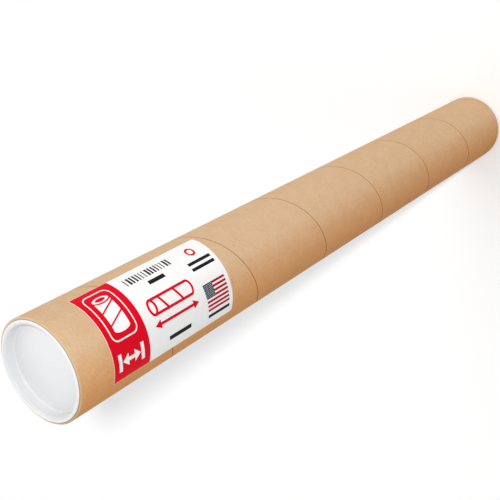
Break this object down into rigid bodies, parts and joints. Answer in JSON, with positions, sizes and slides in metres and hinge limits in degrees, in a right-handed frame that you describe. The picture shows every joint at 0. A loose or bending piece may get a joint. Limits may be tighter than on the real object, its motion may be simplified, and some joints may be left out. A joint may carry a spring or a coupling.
{
  "type": "cardboard mailing tube",
  "caption": "Long spiral-wound kraft cardboard tube with a white plastic push-in cap in each end and a red and white paper label near one end.",
  "frame": {"origin": "centre of the far cap's rim crest, on the surface that the tube stands on", "axes": "+Z along the tube's axis from the far end up to the near end, the one beside the label; the label's middle line faces -Y, and +X follows by the right-hand rule"},
  "size_m": [0.1016, 0.1019, 0.917],
  "materials": {
    "kraft_board": "natural kraft paper, spiral wound, matt",
    "white_plastic": "moulded polyethylene, white, satin",
    "label_paper": "coated white label paper",
    "red_ink": "printed red on coated paper",
    "black_ink": "printed black on coated paper",
    "dark_blue_ink": "printed dark blue grey on coated paper"
  },
  "bodies": {
    "tube": {"tube": "kraft_board", "label": "label_paper", "label_red_panel": "red_ink", "label_red_marks": "red_ink", "label_black_marks": "black_ink", "label_flag_field": "dark_blue_ink"},
    "near_cap": {"near_cap": "white_plastic"},
    "far_cap": {"far_cap": "white_plastic"}
  },
  "joints": [
    {"name": "near_cap_pull", "type": "slide", "parent": "tube", "child": "near_cap", "axis": [0, 0, 1], "range_m": [0, 0.08]},
    {"name": "far_cap_pull", "type": "slide", "parent": "tube", "child": "far_cap", "axis": [0, 0, -1], "range_m": [0, 0.08]}
  ]
}
